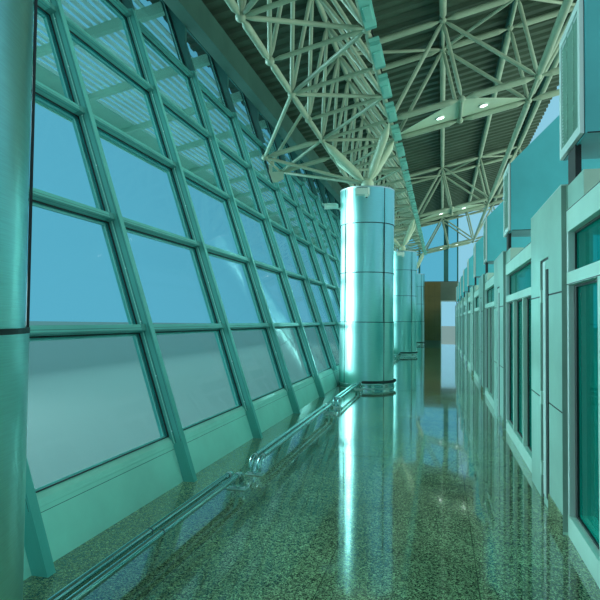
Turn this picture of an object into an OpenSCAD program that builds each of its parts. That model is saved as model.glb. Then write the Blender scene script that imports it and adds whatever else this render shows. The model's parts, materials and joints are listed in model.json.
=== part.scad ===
// Glazed airport passage: one long gallery between a leaning curtain wall and a row of gate fronts.
// x runs across the passage, y along it from the open end, z up from the underside of the floor slab.
// Sizes across the passage are measured from the sight line, a line along the walkway.

/* [Passage] */
// Bays between the round columns
column_bays = 3; // [1:1:3]
// Length of one column bay
column_bay = 12600; // [10500:700:12600]
// Passage before the first column
near_margin = 810; // [810:10:900]
// Passage beyond the last column
far_margin = 1050; // [1000:10:1200]
// Thickness of the concrete floor slab
slab_t = 220; // [180:10:300]
// Thickness of the stone floor finish
stone_t = 30; // [20:5:40]

/* [Leaning wall] */
// Inner face of the mullions at the floor, left of the sight line
wall_x = 2240; // [2200:10:2400]
// Lean of the wall from upright, in degrees
lean = 18.5; // [16:0.5:20]
// Mullion bays in one column bay
mullion_count = 6; // [5:1:7]
// Depth of a mullion, square to the glass
mullion_d = 210; // [180:5:240]
// Width of a mullion
mullion_w = 75; // [60:5:90]
// Step from a column back to the mullion beside it
mullion_shift = 150; // [100:10:200]
// Height of the kerb above the floor
kerb_h = 375; // [360:5:420]
// Rise of the sloping sill on the kerb
sill_rise = 80; // [60:5:100]
// Height of one row of panes
pane_h = 1095; // [1000:5:1100]
// Rows of panes up to the head transom
pane_rows = 5; // [4:1:5]
// Depth of a transom, square to the glass
transom_d = 165; // [120:5:170]
// Height of a transom, along the glass
transom_h = 60; // [50:5:80]
// Thickness of a double glazed pane
pane_t = 28; // [20:2:36]

/* [Columns] */
// Diameter of the column cladding
column_d = 1280; // [1200:10:1280]
// Height of the column cladding above the floor
column_h = 4610; // [4400:10:4700]
// Height of one ring of cladding
ring_h = 1165; // [1100:5:1200]
// Height of the lowest ring joint
first_joint = 373; // [300:1:450]
// Width and depth of the open joints
joint = 14; // [8:1:18]

/* [Roof] */
// Slope of the roof, in degrees
roof_pitch = 12.8; // [11:0.2:14]
// Height of the first bottom node line above the floor
node_z = 5700; // [5600:10:5800]
// Distance of the first bottom node line left of the sight line
node_x = 2670; // [2600:10:2700]
// Spacing of the node lines up the slope
node_step = 1600; // [1550:10:1650]
// Reach of the roof deck past its last node line
roof_reach = 600; // [400:50:800]
// Nodes along one column bay
nodes_per_bay = 9; // [9:1:9]
// Depth of the trusses, between node centres
truss_d = 1840; // [1750:10:1900]
// Diameter of a ball node
ball_d = 150; // [150:5:180]
// Diameter of the chord tubes
chord_d = 114; // [90:2:120]
// Diameter of the web tubes
web_d = 76; // [60:2:84]
// Diameter of the chord tubes in the cross trusses
frame_chord_d = 140; // [110:2:144]
// Diameter of the web tubes in the cross trusses
frame_web_d = 90; // [76:2:100]
// Diameter of the long tubes between the cross trusses
ridge_d = 146; // [110:2:148]
// Diameter of the struts on the column heads
strut_d = 184; // [140:4:190]
// Pitch of the deck ribs
rib_pitch = 400; // [300:10:450]
// Depth of the deck ribs
rib_h = 75; // [50:5:100]
// Reach of the sun canopy, down the slope from the first node line
canopy_reach = 5650; // [5000:50:5800]
// Width of the solid edge of the canopy
canopy_edge_w = 850; // [600:50:1000]
// Pitch of the canopy slats
slat_pitch = 150; // [120:10:200]
// Width of a canopy slat
slat_w = 75; // [50:5:90]

/* [Gate front] */
// Face of the pilasters, right of the sight line
gate_x = 885; // [850:5:1000]
// Thickness of the gate front wall
gate_t = 180; // [150:10:220]
// Width of a pilaster
pilaster_w = 1500; // [1200:50:1600]
// Height of a pilaster above the floor
pilaster_h = 2560; // [2500:10:2700]
// Projection of a pilaster from the glazing
pilaster_out = 35; // [30:5:60]
// Gate bays in one column bay
gate_count = 3; // [2:1:3]
// Step from a column back to the near edge of a pilaster
gate_shift = 720; // [650:10:800]
// Length of a duct box along the passage
duct_l = 670; // [600:10:750]
// Height of the front of a duct box
duct_h = 915; // [800:5:1000]
// Depth of a duct box, which is also the rise of its sloping top
duct_d = 1300; // [1000:50:1400]

/* [Hidden] */

$fn = 24;
zf = slab_t + stone_t;
length = near_margin + column_bays * column_bay + far_margin;
end_wall_t = 150;
inner_length = length - end_wall_t;

mullion_pitch = column_bay / mullion_count;
mullion_total = column_bays * mullion_count;
first_mullion = near_margin - mullion_shift;
kerb_off = mullion_d / 2;
glass_off = mullion_d - 78;
sill_lip = 30;

node_pitch = column_bay / nodes_per_bay;
first_node = near_margin - node_pitch / 2;
node_last = column_bays * nodes_per_bay + 1;
purlin_h = 120;
deck_v = truss_d + ball_d / 2 + purlin_h;
deck_t = 160;
deck_right = 4 * node_step + roof_reach;
deck_lap = 250;
seat = 0.3;
bolt_r = 17;
end_taper = 1.4;
head_ball_d = 300;
head_plate_t = 40;
head_plate_d = 460;
bumper_d = 58;
bumper_z = 150;
bumper_gap = 3;
skirting_t = 8;
rail_clear = 60;
rail_breaks = [4017, 4347, 8477, 8937];
rail_shift = 80;
mullion_cut = 5150;
bracket_z = 5375;
bracket_low = 4890;
bracket_nose = 4960;
bracket_reach = 240;
bracket_inset = 12;
bracket_t = 20;
bracket_neck = 40;
yoke_d = 60;
rail_d = 50;
rail_gap = 84;
rail_foot = 90;
rail_bend = 90;
rail_rise = 140;
flange_d = 80;
flange_t = 12;
duct_z = 2785;
duct_face = 45;
duct_shift = -520;
grille_t = 25;
lintel_z = 2850;
end_sill_z = 4200;
end_head_h = 160;
end_post_d = 60;
end_posts = [[-3300, 120], [-1500, 120], [150, 300], [1000, 90]];
post_z = kerb_h + pane_rows * pane_h + 60;
eaves_x = 4150;
eaves_w = 250;
eaves_h = 500;
eaves_drop = 170;
head_h = 125;
canopy_drop = 60;
arm_h = 200;
arm_w = 120;
slat_t = 30;
canopy_edge_t = 60;
canopy_lip = 180;
plate_t = 12;
lamp_h = 20;
uplight_w = 160;
uplight_h = 80;
uplight_end = 200;

gate_pitch = column_bay / gate_count;
gate_total = column_bays * gate_count;
first_gate = near_margin - gate_shift;
glazing_x = gate_x + pilaster_out;
rail_h = 150;
band_z = 1815;
band_h = 92;
fascia_z = 2205;
fascia_h = 165;
groove = 14;
clip_z = [270, 880, 1770];
recess_h = 2090;
recess_start = 800;
recess_w = 150;
slot_start = 540;
slot_w = 60;
recess_d = 24;
clip_w = 60;
clip_out = 12;
tile_t = 10;
upstand_h = 180;
upstand_l = 500;
neck_l = 235;
neck_t = 40;
neck_gap = 25;
clip_h = 110;
skirting_h = 140;
sash_w = 60;
sash_depth = 60;
sash_t = 12;
purlin_w = 80;
plate_gap = 15;
lamp_d = 170;
lamp_y = 890;
lamp_u = [-470, 530];
panel_w = 1150;
panel_t = 20;
panel_gap = 50;
panel_low = 250;
blade_count = 6;
blade_gap = 16;
grille_border = 70;

function column_y(n) = near_margin + n * column_bay;
function mullion_y(n) = first_mullion + n * mullion_pitch;
function at_column(n) = n % mullion_count == 0;
function bay_start(n) = n < 0 ? 0 : mullion_y(n) + mullion_w / 2;
function bay_end(n) = n >= mullion_total ? inner_length : mullion_y(n + 1) - mullion_w / 2;
function node_y(n) = first_node + n * node_pitch;
function gate_y(n) = first_gate + n * gate_pitch;

// Point on the leaning wall: base height, distance up the slope, distance outwards
function wall_pt(z, up, out) = [
    -wall_x - z * tan(lean) - up * sin(lean) - out * cos(lean),
    z + up * cos(lean) - out * sin(lean)
];
// Point of a leaning plane at one height
function lean_pt(z, out) = [-wall_x - z * tan(lean) - out / cos(lean), z];
// Point of the roof frame: across the slope, along the passage, square to the slope
function roof_pt(u, y, v) = [
    -node_x + u * cos(roof_pitch) - v * sin(roof_pitch),
    y,
    zf + node_z + u * sin(roof_pitch) + v * cos(roof_pitch)
];
slat_v = deck_v - canopy_drop * cos(roof_pitch) + seat;
mid_x = (roof_pt(-canopy_reach, 0, slat_v + canopy_edge_t)[0] + roof_pt(deck_right, 0, deck_v)[0]) / 2;
mid_y = length / 2;
column_x = -lean_pt(bumper_z, kerb_off)[0] - bumper_gap - bumper_d - seat - column_d / 2;
rail_x = column_x + rail_shift;
rail_end = column_d / 2 + rail_clear;
rail_runs = [
    [rail_end, rail_breaks[0]], [rail_breaks[1], rail_breaks[2]], [rail_breaks[3], column_bay - rail_end]
];
function head_ball(n) = [-column_x, column_y(n), zf + column_h + head_plate_t + head_ball_d / 2 - 15];
function bracket_ys(n) =
    [node_y(n * nodes_per_bay), node_y(n * nodes_per_bay + 1), mullion_y(n * mullion_count)];
function bracket_ball(y) = [lean_pt(bracket_z, bracket_inset)[0], y, zf + bracket_z];
function deck_z(x) = node_z + deck_v / cos(roof_pitch) + (x + node_x) * tan(roof_pitch);
function transom_z(k) = kerb_h + k * pane_h;
head_z = deck_z(-wall_x) / (1 + tan(roof_pitch) * tan(lean)) - head_h;
head_in = lean_pt(head_z, 0)[0];
head_out = lean_pt(head_z, mullion_d)[0];
deck_left = (head_out - deck_lap + node_x + deck_v * sin(roof_pitch)) / cos(roof_pitch);
gate_back = glazing_x + gate_t;
eaves_z = deck_z(-eaves_x - eaves_w) - eaves_h - eaves_drop;

module in_frame() {
    translate([-mid_x, -mid_y, 0])
    children();
}

module in_roof() {
    translate([-node_x, 0, zf + node_z])
    rotate([0, -roof_pitch, 0])
    children();
}

// Outline in x and z, drawn out along the passage
module along(start, end) {
    translate([0, end, 0])
    rotate([90, 0, 0])
    linear_extrude(end - start)
    children();
}

// Tube with cone ends between the balls at two nodes
module bar(p, q, d, p_ball = ball_d, q_ball = ball_d) {
    v = q - p;
    full = norm(v);
    bare = full - p_ball / 2 - q_ball / 2 - 2 * seat;
    cone = min(end_taper * d, bare / 4);
    translate(p)
    rotate([0, acos(v[2] / full), atan2(v[1], v[0])])
    translate([0, 0, p_ball / 2 + seat])
    rotate_extrude($fn = 16)
    polygon([[0, 0], [bolt_r, 0], [d / 2, cone], [d / 2, bare - cone], [bolt_r, bare], [0, bare]]);
}

module floor_slab() {
    color("gray")
    in_frame()
    translate([lean_pt(0, mullion_d)[0], 0, 0])
    cube([gate_back - lean_pt(0, mullion_d)[0], length, slab_t]);
}

module stone_floor() {
    color("darkseagreen")
    in_frame()
    translate([lean_pt(0, mullion_d)[0], 0, slab_t])
    cube([gate_back - lean_pt(0, mullion_d)[0], length, stone_t]);
}

module kerb_panels() {
    color("cadetblue")
    in_frame()
    translate([0, 0, zf])
    for (n = [-1:mullion_total])
        along(bay_start(n), bay_end(n))
        polygon([
            lean_pt(0, kerb_off),
            lean_pt(kerb_h - sill_lip, kerb_off),
            lean_pt(kerb_h - sill_lip, mullion_d),
            lean_pt(0, mullion_d)
        ]);
}

module kerb_sills() {
    color("paleturquoise")
    in_frame()
    translate([0, 0, zf])
    for (n = [-1:mullion_total])
        along(bay_start(n), bay_end(n))
        polygon([
            lean_pt(kerb_h - sill_lip, kerb_off),
            lean_pt(kerb_h, kerb_off),
            wall_pt(kerb_h, sill_rise, glass_off),
            wall_pt(kerb_h, sill_rise, mullion_d),
            lean_pt(kerb_h - sill_lip, mullion_d)
        ]);
}

// The mullions beside the columns lose their inner part over the bracket plate
module mullions() {
    color("teal")
    in_frame()
    translate([0, 0, zf])
    for (n = [0:mullion_total])
        along(mullion_y(n) - mullion_w / 2, mullion_y(n) + mullion_w / 2)
        polygon(concat(
            at_column(n)
                ? [
                    lean_pt(0, kerb_off), lean_pt(kerb_h, kerb_off), lean_pt(kerb_h, 0),
                    lean_pt(mullion_cut, 0), lean_pt(mullion_cut, glass_off), lean_pt(post_z, glass_off)
                ]
                : [lean_pt(0, 0), lean_pt(post_z, 0)],
            [lean_pt(post_z, mullion_d), lean_pt(0, mullion_d)]
        ));
}

module transoms() {
    color("darkcyan")
    in_frame()
    translate([0, 0, zf])
    for (n = [-1:mullion_total], k = [1:pane_rows])
        along(bay_start(n), bay_end(n))
        polygon([
            wall_pt(transom_z(k), -transom_h / 2, mullion_d - transom_d),
            wall_pt(transom_z(k), transom_h / 2, mullion_d - transom_d),
            wall_pt(transom_z(k), transom_h / 2, mullion_d),
            wall_pt(transom_z(k), -transom_h / 2, mullion_d)
        ]);
}

module wall_glass() {
    color("lightcyan", 0.5)
    in_frame()
    translate([0, 0, zf])
    for (n = [-1:mullion_total], k = [1:pane_rows + 1]) {
        low = k == 1 ? sill_rise : transom_h / 2;
        high = pane_h / cos(lean) - transom_h / 2;
        along(bay_start(n), bay_end(n))
        polygon([
            wall_pt(transom_z(k - 1), low, glass_off),
            k > pane_rows ? lean_pt(head_z, glass_off) : wall_pt(transom_z(k - 1), high, glass_off),
            k > pane_rows
                ? lean_pt(head_z, glass_off + pane_t)
                : wall_pt(transom_z(k - 1), high, glass_off + pane_t),
            wall_pt(transom_z(k - 1), low, glass_off + pane_t)
        ]);
    }
}

module wall_head() {
    color("darkslategray")
    in_frame()
    translate([0, 0, zf])
    along(0, length)
    polygon([
        [head_in, head_z], [head_in, deck_z(head_in)],
        [head_out, deck_z(head_out)], [head_out, head_z]
    ]);
}

// Dark posts over the head transom, with a knee that carries the eaves beam
module eaves_posts() {
    knee = -eaves_x - eaves_w - seat;
    color("darkslategray")
    in_frame()
    translate([0, 0, zf])
    for (n = [0:mullion_total])
        along(mullion_y(n) - mullion_w / 2, mullion_y(n) + mullion_w / 2)
        polygon([
            lean_pt(post_z, 0), [knee, (-knee - wall_x) / tan(lean)], [knee, head_z],
            lean_pt(head_z, mullion_d), lean_pt(post_z, mullion_d)
        ]);
}

module eaves_beam() {
    color("mediumaquamarine")
    in_frame()
    translate([0, 0, zf])
    along(0, inner_length)
    translate([-eaves_x - eaves_w, eaves_z])
    square([eaves_w, eaves_h]);
}

module canopy_arms() {
    foot = lean_pt(head_z, mullion_d + seat)[0];
    tip = roof_pt(-canopy_reach, 0, deck_v)[0] + arm_w;
    top_z = deck_z(foot) - canopy_drop;
    tip_z = deck_z(tip) - canopy_drop;
    color("mediumaquamarine")
    in_frame()
    translate([0, 0, zf])
    for (n = [0:mullion_total])
        along(mullion_y(n) - arm_w / 2, mullion_y(n) + arm_w / 2)
        polygon([
            [foot, top_z], [tip, tip_z], [tip, tip_z - arm_h / 2],
            lean_pt(top_z - arm_h, mullion_d + seat), [foot, head_z]
        ]);
}

module canopy_slats() {
    start = (head_out - deck_lap - slat_w + node_x + slat_v * sin(roof_pitch)) / cos(roof_pitch);
    color("darkseagreen")
    in_frame()
    in_roof()
    for (u = [start:-slat_pitch:canopy_edge_w - canopy_reach + slat_w])
        translate([u - slat_w, 0, slat_v])
        cube([slat_w, length, slat_t]);
}

module canopy_edge() {
    color("mediumaquamarine")
    in_frame()
    in_roof()
    along(0, length)
    translate([-canopy_reach, slat_v])
    polygon([
        [0, -canopy_lip], [0, canopy_edge_t], [canopy_edge_w, canopy_edge_t],
        [canopy_edge_w, 0], [slat_t, 0], [slat_t, -canopy_lip]
    ]);
}

module columns() {
    joints = [for (z = [first_joint:ring_h:column_h - 200]) z];
    color("silver")
    in_frame()
    for (n = [0:column_bays])
        translate([-column_x, column_y(n), zf])
        difference() {
            rotate_extrude($fn = 64)
            polygon(concat(
                [[0, 0], [column_d / 2, 0]],
                [for (z = joints) each [
                    [column_d / 2, z], [column_d / 2 - joint, z],
                    [column_d / 2 - joint, z + joint], [column_d / 2, z + joint]
                ]],
                [[column_d / 2, column_h], [0, column_h]]
            ));
            for (a = [45:90:315])
                rotate([0, 0, a])
                translate([column_d / 2 - joint, -joint / 2, -1])
                cube([joint + 1, joint, column_h + 2]);
        }
}

module column_skirtings() {
    color("white")
    in_frame()
    for (n = [0:column_bays])
        translate([-column_x, column_y(n), zf])
        rotate_extrude($fn = 64)
        polygon([
            [column_d / 2 + seat, 0], [column_d / 2 + skirting_t, 0],
            [column_d / 2 + skirting_t, 85], [column_d / 2 + seat, 95]
        ]);
}

module column_bumpers() {
    color("black")
    in_frame()
    for (n = [0:column_bays])
        translate([-column_x, column_y(n), zf + bumper_z])
        rotate_extrude($fn = 64)
        translate([column_d / 2 + bumper_d / 2 + seat, 0])
        circle(d = bumper_d, $fn = 16);
}

module column_heads() {
    color("dimgray")
    in_frame()
    for (n = [0:column_bays]) {
        translate([-column_x, column_y(n), zf + column_h])
        cylinder(d = head_plate_d, h = head_plate_t, $fn = 48);
        translate(head_ball(n))
        sphere(d = head_ball_d, $fn = 32);
    }
}

module head_struts() {
    color("beige")
    in_frame()
    for (n = [0:column_bays], m = [0, 1], u = [0, 1]) {
        foot = head_ball(n);
        v = roof_pt(u * node_step, node_y(n * nodes_per_bay + m), 0) - foot;
        bare = norm(v) - head_ball_d / 2 - ball_d / 2 - 2 * seat;
        translate(foot)
        rotate([0, acos(v[2] / norm(v)), atan2(v[1], v[0])])
        translate([0, 0, head_ball_d / 2 + seat])
        rotate_extrude($fn = 20)
        polygon([
            [0, 0], [2 * bolt_r, 0], [strut_d / 2, end_taper * strut_d],
            [strut_d / 2, bare - end_taper * strut_d], [bolt_r, bare], [0, bare]
        ]);
    }
}

// A yoke with three balls, on a plate at the side of the mullion beside each column
module wall_brackets() {
    neck = bracket_ball(0)[0];
    nose = lean_pt(mullion_cut, 0)[0] + bracket_reach;
    color("beige")
    in_frame()
    for (n = [0:column_bays]) {
        plate_y = mullion_y(n * mullion_count) - mullion_w / 2 - seat;
        for (y = bracket_ys(n))
            translate(bracket_ball(y))
            sphere(d = ball_d, $fn = 24);
        translate(bracket_ball(bracket_ys(n)[0]))
        rotate([-90, 0, 0])
        cylinder(d = yoke_d, h = node_pitch);
        translate([0, 0, zf])
        along(plate_y - bracket_t, plate_y)
        polygon([
            lean_pt(bracket_low, kerb_off), lean_pt(bracket_low, 0), [nose, bracket_nose],
            [nose, mullion_cut], [neck + bracket_neck, mullion_cut], [neck + bracket_neck, bracket_z],
            [neck - bracket_neck, bracket_z], [neck - bracket_neck, mullion_cut]
        ]);
    }
}

module wall_struts() {
    color("beige")
    in_frame()
    for (n = [0:column_bays]) {
        first = n * nodes_per_bay;
        near = bracket_ball(bracket_ys(n)[0]);
        far = bracket_ball(bracket_ys(n)[1]);
        bar(near, roof_pt(0, node_y(first), 0), chord_d);
        bar(far, roof_pt(0, node_y(first + 1), 0), chord_d);
        bar(far, roof_pt(0, node_y(first), 0), web_d);
        if (first > 1)
            bar(near, roof_pt(0, node_y(first - 2), 0), web_d);
        bar(bracket_ball(bracket_ys(n)[2]), roof_pt(node_step / 2, node_y(first), truss_d), web_d);
        bar(near, head_ball(n), web_d, ball_d, head_ball_d);
        bar(far, head_ball(n), web_d, ball_d, head_ball_d);
    }
}

module ball_nodes() {
    color("palegreen")
    in_frame()
    for (n = [0:node_last]) {
        for (u = [0, 1])
            translate(roof_pt(u * node_step, node_y(n), 0))
            sphere(d = ball_d, $fn = 24);
        translate(roof_pt(node_step / 2, node_y(n), truss_d))
        sphere(d = ball_d, $fn = 24);
    }
    color("palegreen")
    in_frame()
    for (n = [0:column_bays], m = [0, 1], u = [2:4], v = [0, truss_d])
        translate(roof_pt(u * node_step, node_y(n * nodes_per_bay + m), v))
        sphere(d = ball_d, $fn = 24);
}

module chord_tubes() {
    color("palegreen")
    in_frame()
    for (n = [0:node_last - 1], line = [[0, 0], [1, 0], [0.5, 1]])
        bar(
            roof_pt(line[0] * node_step, node_y(n), line[1] * truss_d),
            roof_pt(line[0] * node_step, node_y(n + 1), line[1] * truss_d),
            chord_d
        );
}

module bottom_lacing() {
    color("palegreen")
    in_frame() {
        for (n = [0:node_last])
            bar(roof_pt(0, node_y(n), 0), roof_pt(node_step, node_y(n), 0), web_d);
        for (n = [1:2:node_last], m = [-1, 1])
            if (n + m <= node_last)
                bar(roof_pt(0, node_y(n), 0), roof_pt(node_step, node_y(n + m), 0), web_d);
    }
}

module side_lacing() {
    color("palegreen")
    in_frame() {
        for (n = [0:node_last], u = [0, 1])
            bar(roof_pt(u * node_step, node_y(n), 0), roof_pt(node_step / 2, node_y(n), truss_d), web_d);
        for (n = [0:node_last - 1], u = [0, 1])
            bar(
                roof_pt(u * node_step, node_y(n + 1), 0),
                roof_pt(node_step / 2, node_y(n), truss_d),
                web_d
            );
    }
}

// Cross trusses over each column, in pairs: each line is [step, depth] of its two nodes
module frame_trusses() {
    chords = [
        [[1, 0], [2, 0]], [[2, 0], [3, 0]], [[3, 0], [4, 0]],
        [[0.5, 1], [2, 1]], [[2, 1], [3, 1]], [[3, 1], [4, 1]]
    ];
    webs = [
        [[1, 0], [2, 1]], [[2, 0], [2, 1]], [[3, 0], [2, 1]],
        [[3, 0], [3, 1]], [[3, 0], [4, 1]], [[4, 0], [4, 1]]
    ];
    braces = [[[0.5, 1], [2, 1]], [[3, 1], [2, 1]], [[3, 1], [4, 1]]];
    color("palegreen")
    in_frame()
    for (n = [0:column_bays]) {
        near = node_y(n * nodes_per_bay);
        far = node_y(n * nodes_per_bay + 1);
        for (y = [near, far]) {
            for (line = chords)
                frame_bar(line, y, y, frame_chord_d);
            for (line = webs)
                frame_bar(line, y, y, frame_web_d);
        }
        for (u = [2:4], v = [0, 1])
            frame_bar([[u, v], [u, v]], near, far, web_d);
        for (line = braces)
            frame_bar(line, near, far, web_d);
    }
}

module frame_bar(line, near, far, d) {
    bar(
        roof_pt(line[0][0] * node_step, near, line[0][1] * truss_d),
        roof_pt(line[1][0] * node_step, far, line[1][1] * truss_d),
        d
    );
}

module ridge_tubes() {
    color("palegreen")
    in_frame()
    for (n = [0:column_bays - 1], line = [[2, 1], [3, 1], [4, 1], [3, 0]])
        bar(
            roof_pt(line[0] * node_step, node_y(n * nodes_per_bay + 1), line[1] * truss_d),
            roof_pt(line[0] * node_step, node_y((n + 1) * nodes_per_bay), line[1] * truss_d),
            ridge_d
        );
}

// Plates on the tie between the cross trusses, clear of the balls at their corners
module soffit_plates() {
    clear = ball_d / 2 + plate_gap;
    far = node_pitch - clear;
    color("wheat")
    in_frame()
    in_roof()
    for (n = [0:column_bays])
        translate([0, node_y(n * nodes_per_bay), web_d / 2 + seat])
        linear_extrude(plate_t)
        polygon([
            [node_step + clear, far], [node_step + clear, far - clear / 2],
            [2 * node_step - clear / 2, clear], [2 * node_step + clear / 2, clear],
            [3 * node_step - clear, far - clear / 2], [3 * node_step - clear, far]
        ]);
}

module downlights() {
    color("white")
    in_frame()
    in_roof()
    for (n = [0:column_bays], u = lamp_u)
        translate([2 * node_step + u, node_y(n * nodes_per_bay) + lamp_y, web_d / 2 - lamp_h])
        cylinder(d = lamp_d, h = lamp_h, $fn = 32);
}

module uplight_boxes() {
    color("mediumturquoise")
    in_frame()
    in_roof()
    for (n = [0:node_last - 1])
        translate([node_step - 10, node_y(n) + uplight_end, -chord_d / 2 - seat - uplight_h])
        cube([uplight_w, node_pitch - 2 * uplight_end, uplight_h]);
}

module purlins() {
    color("darkslategray")
    in_frame()
    in_roof()
    for (u = [0.5, 2, 3, 4])
        translate([u * node_step - purlin_w / 2, 0, truss_d + ball_d / 2 + seat])
        cube([purlin_w, inner_length, purlin_h - seat]);
}

module roof_deck() {
    ribs = floor(length / rib_pitch);
    step = length / ribs;
    color("darkolivegreen")
    in_frame()
    in_roof()
    translate([deck_left, 0, deck_v])
    rotate([90, 0, 90])
    linear_extrude(deck_right - deck_left)
    polygon(concat(
        [for (n = [0:ribs - 1]) each [
            [n * step, 0], [(n + 0.4) * step, 0], [(n + 0.5) * step, rib_h], [(n + 0.9) * step, rib_h]
        ]],
        [[length, 0], [length, deck_t], [0, deck_t]]
    ));
}

function pilaster_start(n) = n == 0 ? 0 : gate_y(n);
function pilaster_end(n) = n == gate_total ? inner_length : gate_y(n) + pilaster_w;

// Panels with two level joints, a recessed strip with its head, and a narrow slot
module gate_pilasters() {
    color("powderblue")
    in_frame()
    for (n = [0:gate_total])
        translate([gate_x, 0, zf])
        difference() {
            translate([0, pilaster_start(n), 0])
            cube([pilaster_out + gate_t, pilaster_end(n) - pilaster_start(n), pilaster_h]);
            for (z = [clip_z[1], clip_z[2]])
                translate([-1, -1, z - groove / 2])
                cube([groove + 1, length, groove]);
            translate([-1, gate_y(n), 0]) {
                translate([0, recess_start, -1])
                cube([recess_d + 1, recess_w, recess_h + 1]);
                translate([0, slot_start, recess_h - recess_d])
                cube([recess_d + 1, recess_start + recess_w - slot_start, recess_d]);
                translate([0, slot_start, 70])
                cube([2 * recess_d + 1, slot_w, recess_h - 170]);
            }
        }
}

module pilaster_clips() {
    color("honeydew")
    in_frame()
    for (n = [0:gate_total], z = clip_z)
        translate([
            gate_x - clip_out, gate_y(n) + recess_start + (recess_w - clip_w) / 2, zf + z - clip_h / 2
        ])
        cube([clip_out + recess_d - seat, clip_w, clip_h]);
}

module gate_skirtings() {
    color("darkseagreen")
    in_frame()
    for (n = [0:gate_total])
        translate([gate_x - tile_t - seat, pilaster_start(n), zf])
        cube([tile_t, gate_y(n) + slot_start - pilaster_start(n), skirting_h]);
}

module gate_rails() {
    color("paleturquoise")
    in_frame()
    for (n = [0:gate_total - 1]) {
        start = gate_y(n) + pilaster_w;
        end = gate_y(n + 1);
        light = (end - start) / 3;
        translate([glazing_x, start, zf]) {
            cube([gate_t, end - start, rail_h]);
            translate([0, 0, band_z])
            cube([gate_t, end - start, band_h]);
            translate([0, 0, fascia_z])
            cube([gate_t, end - start, fascia_h]);
            for (m = [1, 2])
                translate([0, m * light - sash_w / 2, rail_h - 1])
                cube([gate_t, sash_w, band_z - rail_h + 2]);
        }
    }
}

module gate_glass() {
    color("teal", 0.6)
    in_frame()
    for (n = [0:gate_total - 1]) {
        start = gate_y(n) + pilaster_w;
        end = gate_y(n + 1);
        light = (end - start) / 3;
        translate([glazing_x + sash_depth, start, zf]) {
            for (m = [0:2]) {
                y0 = m == 0 ? 0 : m * light + sash_w / 2;
                y1 = m == 2 ? 3 * light : (m + 1) * light - sash_w / 2;
                translate([0, y0, rail_h])
                cube([sash_t, y1 - y0, band_z - rail_h]);
            }
            translate([0, 0, band_z + band_h])
            cube([sash_t, end - start, fascia_z - band_z - band_h]);
        }
    }
}

module duct_upstands() {
    color("powderblue")
    in_frame()
    for (n = [1:gate_total])
        translate([glazing_x + tile_t, gate_y(n) - upstand_l, zf + fascia_z + fascia_h])
        cube([gate_t - tile_t, upstand_l - seat, upstand_h]);
}

module duct_necks() {
    neck_z = fascia_z + fascia_h + upstand_h;
    color("black")
    in_frame()
    for (n = [1:gate_total])
        translate([glazing_x + tile_t, gate_y(n) - neck_l - neck_gap, zf + neck_z])
        cube([neck_t, neck_l, duct_z - neck_z]);
}

// Deep boxes over the gate front, with a top that rises from the grille
module duct_boxes() {
    color("steelblue")
    in_frame()
    for (n = [1:gate_total])
        translate([gate_x + duct_face, 0, zf + duct_z])
        along(gate_y(n) + duct_shift, gate_y(n) + duct_shift + duct_l)
        polygon([[0, 0], [0, duct_h], [duct_d, duct_h + duct_d], [duct_d, 0]]);
}

module duct_grilles() {
    step = (duct_l - 2 * grille_border) / blade_count;
    color("honeydew")
    in_frame()
    for (n = [1:gate_total])
        translate([gate_x + duct_face - grille_t, gate_y(n) + duct_shift, zf + duct_z])
        difference() {
            cube([grille_t, duct_l, duct_h]);
            for (m = [0:blade_count - 1])
                translate([-1, grille_border + m * step + blade_gap / 2, grille_border])
                cube([grille_t - 4, step - blade_gap, duct_h - 2 * grille_border]);
        }
}

module guard_rails() {
    color("white")
    in_frame()
    for (n = [0:column_bays - 1], part = rail_runs, side = [-1, 1])
        translate([-rail_x + side * rail_gap / 2, column_y(n) + part[0], zf + flange_t])
        rail_tube(part[1] - part[0]);
}

module rail_tube(run) {
    turn = rail_foot + rail_bend;
    for (end = [0, 1])
        translate([0, end * run, 0])
        mirror([0, end, 0])
        translate([0, rail_foot, 0]) {
            cylinder(d = rail_d, h = rail_rise - rail_bend);
            translate([0, rail_bend, rail_rise - rail_bend])
            rotate([90, 0, -90])
            rotate_extrude(angle = 90)
            translate([rail_bend, 0])
            circle(d = rail_d);
        }
    translate([0, turn, rail_rise])
    rotate([-90, 0, 0])
    cylinder(d = rail_d, h = run - 2 * turn);
}

module rail_flanges() {
    color("silver")
    in_frame()
    for (n = [0:column_bays - 1], part = rail_runs, y = [part[0] + rail_foot, part[1] - rail_foot])
        for (side = [-1, 1])
            translate([-rail_x + side * rail_gap / 2, column_y(n) + y, zf])
            cylinder(d = flange_d, h = flange_t, $fn = 32);
}

module end_wall() {
    color("darkseagreen")
    in_frame()
    translate([0, 0, zf])
    along(inner_length, length)
    polygon([lean_pt(0, mullion_d), lean_pt(end_sill_z, mullion_d), [0, end_sill_z], [0, 0]]);
}

module end_panel() {
    color("darkkhaki")
    in_frame()
    translate([-panel_w - panel_gap, inner_length - panel_t, zf + panel_low])
    cube([panel_w, panel_t, end_sill_z - panel_low - panel_gap]);
}

module end_lintel() {
    color("darkseagreen")
    in_frame()
    translate([0, inner_length, zf + lintel_z])
    cube([gate_back, end_wall_t, end_sill_z - lintel_z]);
}

module end_glass() {
    color("lightcyan", 0.5)
    in_frame()
    translate([0, 0, zf])
    along(inner_length + end_post_d, inner_length + end_post_d + pane_t)
    polygon([
        lean_pt(end_sill_z, mullion_d), lean_pt(head_z - seat, mullion_d), [head_in + seat, head_z - seat],
        [head_in + seat, deck_z(head_in) - end_head_h],
        [gate_back, deck_z(gate_back) - end_head_h], [gate_back, end_sill_z]
    ]);
}

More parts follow.
